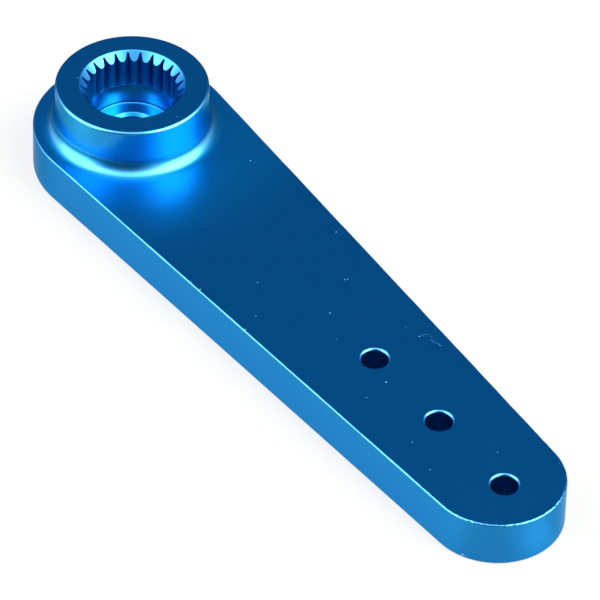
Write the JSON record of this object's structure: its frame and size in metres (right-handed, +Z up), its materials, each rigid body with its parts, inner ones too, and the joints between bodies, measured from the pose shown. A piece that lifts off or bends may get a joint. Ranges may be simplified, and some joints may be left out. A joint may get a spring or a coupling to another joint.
{
  "type": "servo arm",
  "caption": "Flat tapered lever with a raised round boss holding an internal splined socket, and a row of small link holes towards its narrow end.",
  "frame": {"origin": "on the boss's axis, in the flat underside of the lever", "axes": "+Z up along the boss, out of the mouth of the splined socket; +X along the lever from the boss to the narrow end"},
  "size_m": [0.0474, 0.012, 0.006],
  "materials": {
    "blue_anodised_aluminium": "satin blue anodised, fine bead-blasted"
  },
  "bodies": {
    "root": {"servo_arm": "blue_anodised_aluminium"}
  },
  "joints": []
}
